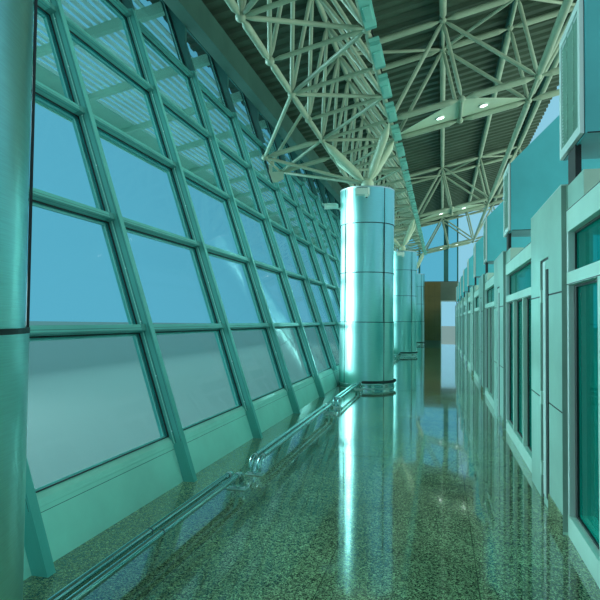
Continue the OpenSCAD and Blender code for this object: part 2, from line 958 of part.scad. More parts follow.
module end_mullions() {
    color("darkslategray")
    in_frame()
    translate([0, 0, zf])
    along(inner_length, inner_length + end_post_d)
    for (post = end_posts)
        polygon([
            [post[0], end_sill_z], [post[0], deck_z(post[0]) - end_head_h],
            [post[0] + post[1], deck_z(post[0] + post[1]) - end_head_h], [post[0] + post[1], end_sill_z]
        ]);
}

module end_head() {
    color("darkslategray")
    in_frame()
    translate([0, 0, zf])
    along(inner_length, length)
    polygon([
        [head_in + seat, deck_z(head_in) - end_head_h], [head_in + seat, deck_z(head_in) - seat],
        [gate_back, deck_z(gate_back) - seat], [gate_back, deck_z(gate_back) - end_head_h]
    ]);
}

floor_slab();
stone_floor();
kerb_panels();
kerb_sills();
mullions();
transoms();
wall_glass();
wall_head();
eaves_posts();
eaves_beam();
canopy_arms();
canopy_slats();
canopy_edge();
columns();
column_skirtings();
column_bumpers();
column_heads();
head_struts();
wall_brackets();
wall_struts();
ball_nodes();
chord_tubes();
bottom_lacing();
side_lacing();
frame_trusses();
ridge_tubes();
soffit_plates();
downlights();
uplight_boxes();
purlins();
roof_deck();
gate_pilasters();
pilaster_clips();
gate_skirtings();
gate_rails();
gate_glass();
duct_upstands();
duct_necks();
duct_boxes();
duct_grilles();
guard_rails();
rail_flanges();
end_wall();
end_panel();
end_lintel();
end_glass();
end_mullions();
end_head();
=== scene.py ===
"""Dresses a glazed airport passage: finishes on the built pieces, and the small pieces that sit on them."""

import json
import math

import bpy
from bpy.props import FloatProperty, FloatVectorProperty, PointerProperty
from mathutils import Matrix, Vector

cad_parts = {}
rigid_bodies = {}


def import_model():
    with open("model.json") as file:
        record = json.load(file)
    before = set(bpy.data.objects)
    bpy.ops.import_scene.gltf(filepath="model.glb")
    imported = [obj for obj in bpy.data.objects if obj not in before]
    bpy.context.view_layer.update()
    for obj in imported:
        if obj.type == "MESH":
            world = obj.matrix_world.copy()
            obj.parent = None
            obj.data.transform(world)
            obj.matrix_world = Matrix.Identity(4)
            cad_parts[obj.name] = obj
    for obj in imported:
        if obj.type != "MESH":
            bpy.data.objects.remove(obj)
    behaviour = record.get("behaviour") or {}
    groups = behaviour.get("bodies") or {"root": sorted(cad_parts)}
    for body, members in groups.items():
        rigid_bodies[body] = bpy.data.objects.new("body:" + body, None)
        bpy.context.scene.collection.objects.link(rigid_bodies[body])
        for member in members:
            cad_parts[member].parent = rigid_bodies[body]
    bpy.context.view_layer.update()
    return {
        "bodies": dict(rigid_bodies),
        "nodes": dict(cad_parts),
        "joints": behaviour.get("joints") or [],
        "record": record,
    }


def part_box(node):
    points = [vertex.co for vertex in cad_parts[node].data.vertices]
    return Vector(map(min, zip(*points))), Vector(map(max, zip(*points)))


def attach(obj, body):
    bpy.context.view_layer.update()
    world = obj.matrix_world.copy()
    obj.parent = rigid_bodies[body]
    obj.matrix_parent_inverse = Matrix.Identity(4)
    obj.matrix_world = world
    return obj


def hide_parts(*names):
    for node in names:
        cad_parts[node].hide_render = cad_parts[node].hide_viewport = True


bl_info = {
    "name": "Glazed passage dressing",
    "version": (1, 0, 0),
    "blender": (4, 5, 0),
    "location": "View3D > Sidebar > Passage",
    "description": "Finishes and fittings for a glazed airport passage",
    "category": "Object",
}

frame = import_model()
ROOT = "root"

# Places that everything else is measured from, in metres
FLOOR_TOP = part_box("stone_floor")[1].z
GATE_FACE_FROM_SIGHT = 0.885
SIGHT_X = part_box("gate_pilasters")[0].x - GATE_FACE_FROM_SIGHT
NEAR_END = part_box("floor_slab")[0].y


def at(x, y, z):
    """Point from the sight line, the open end and the finished floor, all in metres."""
    return Vector((SIGHT_X + x, NEAR_END + y, FLOOR_TOP + z))


class PassageView(bpy.types.PropertyGroup):
    """Where the passage is seen from."""

    eye: FloatVectorProperty(name="Eye", description="From sight line, open end and floor",
                             default=(0.0267, -0.3264, 1.5436), subtype="TRANSLATION", unit="LENGTH")
    turn: FloatProperty(name="Turn", description="To the left of the passage's axis",
                        default=math.radians(13.719), subtype="ANGLE", unit="ROTATION")
    rise: FloatProperty(name="Rise", description="Up from level",
                        default=math.radians(1.944), subtype="ANGLE", unit="ROTATION")
    roll: FloatProperty(name="Roll", description="Clockwise about the view",
                        default=math.radians(0.572), subtype="ANGLE", unit="ROTATION")
    lens: FloatProperty(name="Lens", description="Focal length on a 36 mm sensor, in millimetres",
                        default=34.867, min=10, max=200)


def colour(name, description, value):
    """A colour setting with its default."""
    return FloatVectorProperty(name=name, description=description, default=value,
                               subtype="COLOR", size=3, min=0, max=1)


class PassageColours(bpy.types.PropertyGroup):
    """Colours that a user may change."""

    wall_paint: colour("Wall paint", "Powder coat of the leaning wall", (0.11, 0.48, 0.45))
    kerb_paint: colour("Kerb paint", "Powder coat of the kerb panels", (0.42, 0.86, 0.78))
    truss_paint: colour("Truss paint", "Paint of the tube roof", (0.33, 0.45, 0.33))
    deck_paint: colour("Deck paint", "Coating of the ribbed deck", (0.052, 0.092, 0.060))
    granite: colour("Granite", "Ground colour of the stone floor", (0.28, 0.36, 0.21))
    panel: colour("Gate panel", "Satin panels of the gate front", (0.44, 0.66, 0.58))
    duct: colour("Duct", "Sheet metal of the duct boxes", (0.09, 0.52, 0.60))
    mint: colour("Mint", "Frames of the grilles and gate glazing", (0.66, 0.90, 0.80))
    cladding: colour("Cladding", "Satin sheet on the columns", (0.42, 0.78, 0.72))
    glass_tint: colour("Glass tint", "What each face of the wall glass lets through", (0.62, 0.86, 0.90))
    backdrop: colour("Backdrop", "Backdrop behind the object", (0.26, 0.60, 0.76))
    stage: colour("Stage", "Floor that the object stands on", (0.24, 0.33, 0.32))


def settings():
    """The scene's view and colour settings."""
    return bpy.context.scene.passage_view, bpy.context.scene.passage_colours


# Materials

def finish(name, paint, roughness=0.5, metallic=0.0, **sockets):
    """A new material and its shader, with the even values set on the shader's own sockets."""
    material = bpy.data.materials.new(name)
    material.use_nodes = True
    shader = material.node_tree.nodes["Principled BSDF"]
    shader.inputs["Base Color"].default_value = (*paint, 1)
    shader.inputs["Roughness"].default_value = roughness
    shader.inputs["Metallic"].default_value = metallic
    for socket, value in sockets.items():
        shader.inputs[socket.replace("_", " ")].default_value = value
    return material, shader


def place(material, stretch=(1, 1, 1)):
    """Object coordinates through a mapping node."""
    tree = material.node_tree
    coordinates = tree.nodes.new("ShaderNodeTexCoord")
    mapping = tree.nodes.new("ShaderNodeMapping")
    mapping.inputs["Scale"].default_value = stretch
    tree.links.new(coordinates.outputs["Object"], mapping.inputs["Vector"])
    return mapping.outputs["Vector"]


def noise(material, where, scale, detail=4, rough=0.6):
    """Grey noise."""
    node = material.node_tree.nodes.new("ShaderNodeTexNoise")
    node.inputs["Scale"].default_value = scale
    node.inputs["Detail"].default_value = detail
    node.inputs["Roughness"].default_value = rough
    material.node_tree.links.new(where, node.inputs["Vector"])
    return node.outputs["Fac"]


def ramp(material, value, low, high, first, last):
    """A blend of two colours between two levels of a value."""
    node = material.node_tree.nodes.new("ShaderNodeValToRGB")
    stops = node.color_ramp.elements
    stops[0].position, stops[1].position = low, high
    stops[0].color, stops[1].color = (*first, 1), (*last, 1)
    material.node_tree.links.new(value, node.inputs["Fac"])
    return node.outputs["Color"]


def grey(level):
    """A grey colour."""
    return (level, level, level)


def tint(paint, factor):
    """The same hue, lighter or darker."""
    return tuple(min(1.0, part * factor) for part in paint)


def relief(material, shader, height, distance, strength=1.0):
    """Bump from a height, in metres."""
    node = material.node_tree.nodes.new("ShaderNodeBump")
    node.inputs["Distance"].default_value = distance
    node.inputs["Strength"].default_value = strength
    material.node_tree.links.new(height, node.inputs["Height"])
    material.node_tree.links.new(node.outputs["Normal"], shader.inputs["Normal"])


def painted(name, paint, roughness=0.42, cloud=0.8, grime=0.14):
    """Powder coat: cloudy colour, fine orange peel and dust that dulls the gloss."""
    material, shader = finish(name, paint, roughness, Coat_Weight=0.15)
    link = material.node_tree.links.new
    broad = noise(material, place(material), cloud, 5)
    link(ramp(material, broad, 0.32, 0.72, tint(paint, 1 - grime), tint(paint, 1 + grime)),
         shader.inputs["Base Color"])
    link(ramp(material, broad, 0.3, 0.75, grey(roughness + 0.12), grey(roughness - 0.05)),
         shader.inputs["Roughness"])
    relief(material, shader, noise(material, place(material), 900, 2), 0.0002, 0.25)
    return material


def multiply(material, first, second):
    """Product of two colours."""
    node = material.node_tree.nodes.new("ShaderNodeMix")
    node.data_type = "RGBA"
    node.blend_type = "MULTIPLY"
    node.inputs["Factor"].default_value = 1
    material.node_tree.links.new(first, node.inputs["A"])
    material.node_tree.links.new(second, node.inputs["B"])
    return node.outputs["Result"]


def grains(material, where, scale):
    """A random grey for each grain of stone."""
    node = material.node_tree.nodes.new("ShaderNodeTexVoronoi")
    node.inputs["Scale"].default_value = scale
    material.node_tree.links.new(where, node.inputs["Vector"])
    return node.outputs["Color"]


def granite(name, ground):
    """Polished stone: light and dark grains of two sizes, soft clouds and slab joints."""
    material, shader = finish(name, ground, 0.08, IOR=1.7, Coat_Weight=0.6, Coat_Roughness=0.03)
    tree = material.node_tree
    link = tree.links.new
    where = place(material)
    coarse = ramp(material, grains(material, where, 105), 0.2, 0.74, grey(0.18), grey(1.65))
    fine = ramp(material, grains(material, where, 260), 0.2, 0.7, grey(0.22), grey(1.85))
    clouds = ramp(material, noise(material, where, 0.7, 4), 0.35, 0.7, grey(0.66), grey(1.12))
    base = ramp(material, noise(material, where, 31, 3), 0.35, 0.65, tint(ground, 0.8), tint(ground, 1.18))
    mixed = multiply(material, multiply(material, base, clouds), multiply(material, coarse, fine))
    joints = tree.nodes.new("ShaderNodeTexBrick")
    joints.offset = 0
    for socket, value in {"Scale": 1, "Mortar Size": 0.003, "Mortar Smooth": 0.2, "Brick Width": 0.9,
                          "Row Height": 0.9, "Bias": 0}.items():
        joints.inputs[socket].default_value = value
    joints.inputs["Mortar"].default_value = (*tint(ground, 0.25), 1)
    link(where, joints.inputs["Vector"])
    link(mixed, joints.inputs["Color1"])
    darker = multiply(material, mixed, ramp(material, clouds, 0, 1, grey(0.74), grey(0.80)))
    link(darker, joints.inputs["Color2"])
    link(joints.outputs["Color"], shader.inputs["Base Color"])
    link(ramp(material, noise(material, where, 2.3, 5), 0.3, 0.75, grey(0.05), grey(0.13)),
         shader.inputs["Roughness"])
    return material


def sheet_metal(name, paint, roughness, brush=(1, 1, 60), streak=0.1, metallic=0.9, **sockets):
    """Satin metal with fine brushing across it and soft smears."""
    material, shader = finish(name, paint, roughness, metallic, **sockets)
    link = material.node_tree.links.new
    strokes = noise(material, place(material, brush), 6, 4, 0.7)
    link(ramp(material, strokes, 0.3, 0.7, tint(paint, 1 - streak), tint(paint, 1 + streak)),
         shader.inputs["Base Color"])
    smears = noise(material, place(material), 1.6, 4)
    link(ramp(material, smears, 0.3, 0.75, grey(roughness - 0.04), grey(roughness + 0.05)),
         shader.inputs["Roughness"])
    return material


def glazing(name, tint_through, body, roughness=0.02):
    """A tinted pane: light passes with a tint, and more of the room is mirrored at a flat angle."""
    material, shader = finish(name, body, roughness, 0.0, IOR=1.5, Specular_IOR_Level=1.0)
    tree = material.node_tree
    film = noise(material, place(material), 1.3, 5)
    tree.links.new(ramp(material, film, 0.35, 0.8, grey(roughness), grey(roughness + 0.05)),
                   shader.inputs["Roughness"])
    clear = tree.nodes.new("ShaderNodeBsdfTransparent")
    clear.inputs["Color"].default_value = (*tint_through, 1)
    angle = tree.nodes.new("ShaderNodeFresnel")
    angle.inputs["IOR"].default_value = 1.5
    side = tree.nodes.new("ShaderNodeNewGeometry")
    front = tree.nodes.new("ShaderNodeMath")
    front.operation = "SUBTRACT"
    front.inputs[0].default_value = 1
    tree.links.new(side.outputs["Backfacing"], front.inputs[1])
    share = tree.nodes.new("ShaderNodeMath")
    share.operation = "MULTIPLY"
    tree.links.new(angle.outputs["Fac"], share.inputs[0])
    tree.links.new(front.outputs["Value"], share.inputs[1])
    both = tree.nodes.new("ShaderNodeMixShader")
    tree.links.new(share.outputs["Value"], both.inputs["Fac"])
    tree.links.new(clear.outputs["BSDF"], both.inputs[1])
    tree.links.new(shader.outputs["BSDF"], both.inputs[2])
    tree.links.new(both.outputs["Shader"], tree.nodes["Material Output"].inputs["Surface"])
    return material


def lamp(name, paint, strength):
    """A lit lens."""
    material, shader = finish(name, paint, 0.3)
    shader.inputs["Emission Color"].default_value = (*paint, 1)
    shader.inputs["Emission Strength"].default_value = strength
    rings = noise(material, place(material), 60, 2)
    relief(material, shader, rings, 0.001, 0.3)
    return material


def coat(material, *nodes):
    """Puts a material on built pieces."""
    for name in nodes:
        slots = frame["nodes"][name].data.materials
        slots.clear()
        slots.append(material)


# Sizes of the built pieces, in metres

INNER_END = 39.51
LEAN = math.radians(18.5)
KERB_HEIGHT = 0.375
SILL_RISE = 0.08
PANE_HEIGHT = 1.095
ROWS = 6
TRANSOM_HALF = 0.03
MULLION_STEP = 2.1
MULLION_HALF = 0.0375
MULLION_HEIGHT = 5.91
CUT_MULLION_HEIGHT = 5.15
MULLION_FOOT = KERB_HEIGHT / math.cos(LEAN) + 0.004
MULLIONS_PER_COLUMN = 6
PANE_WIDTH = MULLION_STEP - 2 * MULLION_HALF
COLUMN_X = -1.6996
COLUMN_START = 0.81
COLUMN_BAY = 12.6
COLUMN_RADIUS = 0.64
COLUMN_HEIGHT = 4.61
COLUMN_JOINTS = (1.504, 2.638, 3.772)
RAIL_X = COLUMN_X - 0.08
RAIL_HEIGHT = 0.152
RAIL_RUNS = ((0.7, 4.017), (4.347, 8.477), (8.937, 11.9))
PITCH = math.radians(12.8)
GATE_START = 0.09
GATE_STEP = 4.2
PILASTER_WIDTH = 1.5
SLOT_START = 0.54
SLOT_END = 0.60
PANE_FACE = 0.9797
SILL_TOP = 0.15
BAND_LOW = 1.815
BAND_TOP = 1.907
FASCIA_LOW = 2.205
GRILLE_FRAME = 0.062

# Places of what repeats

WALL = Matrix.Translation(at(-2.24, 0, 0)) @ Matrix.Rotation(-LEAN, 4, "Y")
ROOF = Matrix.Translation(at(-2.67, 0, 5.7)) @ Matrix.Rotation(-PITCH, 4, "Y")
MULLIONS = [0.66 + MULLION_STEP * n for n in range(19)]
COLUMNS = [Matrix.Translation(at(COLUMN_X, COLUMN_START + COLUMN_BAY * n, 0)) for n in range(4)]
GATES = [Matrix.Translation(at(0, GATE_START + GATE_STEP * n, 0)) for n in range(10)]


# Modelling


def along(distance):
    """A step along the passage."""
    return Matrix.Translation((0, distance, 0))


def row(number):
    """Distance up the leaning wall to the middle of a transom; row 0 is the kerb's top."""
    return (KERB_HEIGHT + PANE_HEIGHT * number) / math.cos(LEAN)


def finish_modifier(piece, kind, **values):
    """Adds a modifier, sets it and applies it."""
    modifier = piece.modifiers.new(kind.lower(), kind)
    for name, value in values.items():
        setattr(modifier, name, value)
    bpy.context.view_layer.objects.active = piece
    bpy.ops.object.modifier_apply(modifier=modifier.name)


def block(low, high, edge=0.001, segments=1):
    """A block between two corners, with bevelled edges."""
    bpy.ops.object.select_all(action="DESELECT")
    low, high = Vector(low), Vector(high)
    bpy.ops.mesh.primitive_cube_add(size=1, location=(low + high) / 2, scale=high - low)
    bpy.ops.object.transform_apply()
    bpy.ops.object.mode_set(mode="EDIT")
    bpy.ops.mesh.select_all(action="SELECT")
    bpy.ops.mesh.bevel(offset=edge, segments=segments, affect="EDGES")
    bpy.ops.object.mode_set(mode="OBJECT")
    return bpy.context.object


def border(x, low, high, width, depth):
    """A flat frame inside two corners (y, z) on the plane at x; a negative depth stands back from it."""
    bpy.ops.object.select_all(action="DESELECT")
    bpy.ops.mesh.primitive_plane_add(size=1, rotation=(0, math.pi / 2, 0),
                                     location=(x, (low[0] + high[0]) / 2, (low[1] + high[1]) / 2))
    piece = bpy.context.object
    piece.scale = (high[1] - low[1], high[0] - low[0], 1)
    bpy.ops.object.transform_apply()
    bpy.ops.object.mode_set(mode="EDIT")
    bpy.ops.mesh.select_all(action="SELECT")
    bpy.ops.mesh.inset(thickness=width)
    bpy.ops.mesh.delete(type="FACE")
    bpy.ops.object.mode_set(mode="OBJECT")
    finish_modifier(piece, "SOLIDIFY", thickness=abs(depth), offset=math.copysign(1, depth))
    return piece


def hoop(radius, low, high, depth, sides=64):
    """A ring round the z axis, from low to high, whose wall grows inwards by depth."""
    bpy.ops.object.select_all(action="DESELECT")
    bpy.ops.mesh.primitive_cylinder_add(vertices=sides, radius=radius, depth=high - low,
                                        end_fill_type="NOTHING", location=(0, 0, (low + high) / 2))
    bpy.ops.object.transform_apply()
    piece = bpy.context.object
    finish_modifier(piece, "SOLIDIFY", thickness=depth, offset=-1)
    bpy.ops.object.shade_smooth_by_angle(angle=math.radians(35))
    return piece


def rod(start, end, radius, sides=16, edge=0.002):
    """A round bar between two points, with bevelled ends."""
    bpy.ops.object.select_all(action="DESELECT")
    start, end = Vector(start), Vector(end)
    bpy.ops.mesh.primitive_cylinder_add(vertices=sides, radius=radius, depth=(end - start).length,
                                        location=(start + end) / 2,
                                        rotation=(end - start).to_track_quat("Z", "Y").to_euler())
    bpy.ops.object.transform_apply()
    piece = bpy.context.object
    finish_modifier(piece, "BEVEL", width=edge, segments=2, limit_method="ANGLE")
    bpy.ops.object.shade_smooth_by_angle(angle=math.radians(35))
    return piece


def sweep(steps, degrees, centre, axis):
    """Turns the active outline round an axis into a skin, merged and with its normals outwards."""
    bpy.ops.object.mode_set(mode="EDIT")
    bpy.ops.mesh.select_all(action="SELECT")
    bpy.ops.mesh.spin(steps=steps, angle=math.radians(degrees), center=centre, axis=axis)
    bpy.ops.mesh.select_all(action="SELECT")
    bpy.ops.mesh.remove_doubles(threshold=0.0001)
    bpy.ops.mesh.normals_make_consistent(inside=False)
    bpy.ops.object.mode_set(mode="OBJECT")
    return bpy.context.object


def join(*parts):
    """One object from several."""
    bpy.ops.object.select_all(action="DESELECT")
    for part in parts:
        part.select_set(True)
    bpy.context.view_layer.objects.active = parts[0]
    if len(parts) > 1:
        bpy.ops.object.join()
    return bpy.context.object


def repeat(piece, places):
    """Copies a piece to each place, each copy with its own mesh, and joins them."""
    copies = []
    for place in places:
        twin = piece.copy()
        twin.data = piece.data.copy()
        twin.data.transform(place)
        if place.is_negative:
            twin.data.flip_normals()
        bpy.context.collection.objects.link(twin)
        copies.append(twin)
    bpy.data.objects.remove(piece)
    return join(*copies)


def settle(name, piece, slot, material, *replaced):
    """Names a finished piece and gives it its body and its material; its slot argument is not used."""
    piece.name = name
    piece.data.name = name
    piece.data.materials.clear()
    piece.data.materials.append(material)
    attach(piece, ROOT)
    if replaced:
        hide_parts(*replaced)
    return piece


def shared(name, *values):
    """A painted material, made at its first use."""
    return bpy.data.materials.get(name) or painted(name, *values)


def rubber():
    """Black gasket rubber."""
    return shared("gasket_rubber", grey(0.012), 0.5)


def fitting_paint():
    """Off-white paint of small fittings."""
    return shared("fitting_paint", (0.62, 0.82, 0.74), 0.4)


def built(name):
    """A finish as the frame brings it, under the name of its record slot."""
    return bpy.data.materials[name]


def duct_paint():
    """Painted sheet of the duct boxes."""
    _, colours = settings()
    return shared("duct_sheet", colours.duct, 0.4)


# Operators

class PASSAGE_OT_floor(bpy.types.Operator):
    """Finishes the slab and its stone floor"""

    bl_idname = "passage.floor"
    bl_label = "Finish floor"

    def execute(self, context):
        _, colours = settings()
        coat(granite("polished_granite", colours.granite), "stone_floor", "gate_skirtings")
        coat(painted("slab_concrete", grey(0.42), 0.8, 2.5), "floor_slab")
        return {"FINISHED"}


class PASSAGE_OT_leaning_wall(bpy.types.Operator):
    """Finishes the leaning glass wall"""

    bl_idname = "passage.leaning_wall"
    bl_label = "Finish leaning wall"

    def execute(self, context):
        _, colours = settings()
        coat(painted("wall_paint", colours.wall_paint), "mullions", "transoms")
        coat(painted("kerb_paint", colours.kerb_paint), "kerb_panels", "kerb_sills")
        coat(painted("canopy_paint", (0.34, 0.62, 0.50)), "canopy_arms", "canopy_edge")
        coat(painted("slat_paint", (0.66, 0.84, 0.80)), "canopy_slats")
        coat(painted("eaves_paint", (0.06, 0.16, 0.13)), "eaves_beam")
        coat(painted("head_paint", tint(colours.wall_paint, 0.3)), "wall_head", "eaves_posts", "purlins")
        coat(glazing("wall_glass", colours.glass_tint, (0.02, 0.10, 0.11)), "wall_glass", "end_glass")
        return {"FINISHED"}


class PASSAGE_OT_columns(bpy.types.Operator):
    """Finishes the clad columns, their buffers and the guard rails"""

    bl_idname = "passage.columns"
    bl_label = "Finish columns"

    def execute(self, context):
        _, colours = settings()
        sheet = sheet_metal("column_sheet", colours.cladding, 0.32, metallic=1.0,
                            Coat_Weight=0.5, Coat_Roughness=0.2)
        settle("column_shells", repeat(self.shell(), COLUMNS), "column_cladding", sheet, "columns")
        steel = sheet_metal("polished_steel", (0.42, 0.60, 0.56), 0.13, (60, 1, 60), metallic=1.0)
        coat(steel, "column_skirtings", "guard_rails", "rail_flanges")
        black = painted("bumper_rubber", grey(0.02), 0.6)
        coat(black, "duct_necks")
        settle("column_buffers", repeat(self.buffer(), COLUMNS), "black_rubber", black, "column_bumpers")
        return {"FINISHED"}

    def buffer(self):
        """A rubber bar round the walkway side of a column, with round ends."""
        reach, height, radius = 0.6693, 0.15, 0.029
        ends = []
        for side in (-1, 1):
            bpy.ops.object.select_all(action="DESELECT")
            bpy.ops.mesh.primitive_uv_sphere_add(segments=16, ring_count=8, radius=radius,
                                                 location=(0, side * reach, height))
            bpy.ops.object.transform_apply()
            ends.append(bpy.context.object)
        bpy.ops.object.select_all(action="DESELECT")
        bpy.ops.mesh.primitive_circle_add(vertices=16, radius=radius, location=(0, -reach, height),
                                          rotation=(0, math.pi / 2, 0))
        bpy.ops.object.transform_apply()
        bar = join(sweep(32, -180, (0, 0, 0), (0, 0, 1)), *ends)
        bpy.ops.object.shade_smooth_by_angle(angle=math.radians(60))
        return bar

    def shell(self):
        """One clad column, set back a little between its lowest and its highest level joint."""
        bpy.ops.object.select_all(action="DESELECT")
        bpy.ops.mesh.primitive_cylinder_add(vertices=96, radius=COLUMN_RADIUS, depth=COLUMN_HEIGHT,
                                            location=(0, 0, COLUMN_HEIGHT / 2))
        bpy.ops.object.transform_apply()
        shell = bpy.context.object
        half = 0.007
        bpy.ops.object.mode_set(mode="EDIT")
        for joint in COLUMN_JOINTS:
            for level in (joint - half, joint + half):
                bpy.ops.mesh.select_all(action="SELECT")
                bpy.ops.mesh.bisect(plane_co=(0, 0, level), plane_no=(0, 0, 1))
        bpy.ops.mesh.select_mode(type="FACE")
        bpy.ops.mesh.select_all(action="DESELECT")
        bpy.ops.object.mode_set(mode="OBJECT")
        for face in shell.data.polygons:
            face.select = COLUMN_JOINTS[0] - half < face.center.z < COLUMN_JOINTS[-1] + half
        bpy.ops.object.mode_set(mode="EDIT")
        bpy.ops.mesh.extrude_region_move()
        set_back = 0.98
        bpy.ops.transform.resize(value=(set_back, set_back, 1), center_override=(0, 0, 0))
        bpy.ops.object.mode_set(mode="OBJECT")
        bpy.ops.object.shade_smooth_by_angle(angle=math.radians(30))
        return shell


class PASSAGE_OT_roof(bpy.types.Operator):
    """Finishes the tube roof and its deck"""

    bl_idname = "passage.roof"
    bl_label = "Finish roof"

    def execute(self, context):
        _, colours = settings()
        coat(painted("truss_paint", colours.truss_paint, 0.45, 1.5), "wall_brackets", "wall_struts",
             "ball_nodes", "chord_tubes", "bottom_lacing", "side_lacing", "frame_trusses", "ridge_tubes")
        coat(painted("deck_paint", colours.deck_paint, 0.5, 1.2), "roof_deck")
        # painted light: head struts and column heads get a lighter copy of the truss paint for the light they
        # catch
        coat(painted("strut_paint", tint(colours.truss_paint, 1.4), 0.45, 1.5), "head_struts", "column_heads")
        coat(painted("soffit_paint", tint(colours.truss_paint, 1.55)), "soffit_plates")
        coat(painted("uplight_paint", (0.12, 0.42, 0.36)), "uplight_boxes")
        coat(lamp("downlight_lens", (0.9, 1.0, 0.95), 4.0), "downlights")
        return {"FINISHED"}


class PASSAGE_OT_gate_front(bpy.types.Operator):
    """Finishes the gate front, its ducts and the end wall"""

    bl_idname = "passage.gate_front"
    bl_label = "Finish gate front"

    def execute(self, context):
        _, colours = settings()
        coat(painted("gate_panel", colours.panel, 0.32), "gate_pilasters", "duct_upstands")
        coat(painted("gate_frame", colours.mint, 0.4), "gate_rails", "pilaster_clips")
        coat(glazing("gate_glass", (0.01, 0.62, 0.58), (0.002, 0.24, 0.21)), "gate_glass")
        coat(duct_paint(), "duct_boxes")
        coat(painted("end_panel", (0.16, 0.20, 0.15), 0.5), "end_wall", "end_lintel")
        coat(painted("end_board", (0.20, 0.15, 0.05), 0.45), "end_panel")
        coat(painted("end_frame", tint(colours.wall_paint, 0.3)), "end_mullions", "end_head")
        return {"FINISHED"}


class PASSAGE_OT_wall_gaskets(bpy.types.Operator):
    """Adds the gasket and the outer bead round each pane of the leaning wall"""

    bl_idname = "passage.wall_gaskets"
    bl_label = "Add wall gaskets"

    def execute(self, context):
        _, colours = settings()
        head = (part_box("wall_head")[0].z - FLOOR_TOP) / math.cos(LEAN)
        starts = [0, *(y + MULLION_HALF for y in MULLIONS)]
        bays = list(zip(starts, [*(y - MULLION_HALF for y in MULLIONS), INNER_END]))
        gaskets, beads = [], []
        for group in (bays[:1], bays[1:-1], bays[-1:]):
            start, end = group[0]
            places = [WALL @ along(bay[0] - start) for bay in group]
            for k in range(ROWS):
                low = (start, row(k) + (SILL_RISE if k == 0 else TRANSOM_HALF))
                for strips, plane, width, depth, past_head in ((gaskets, -0.132, 0.010, 0.012, 0.044),
                                                               (beads, -0.160, 0.022, -0.012, 0.053)):
                    top = row(k + 1) - TRANSOM_HALF if k < ROWS - 1 else head + past_head
                    strips.append(repeat(border(plane, low, (end, top), width, depth), places))
        settle("wall_gaskets", join(*gaskets), "black_rubber", rubber())
        settle("wall_beads", join(*beads), "kerb_panel", shared("bead_paint", tint(colours.kerb_paint, 0.9)))
        return {"FINISHED"}


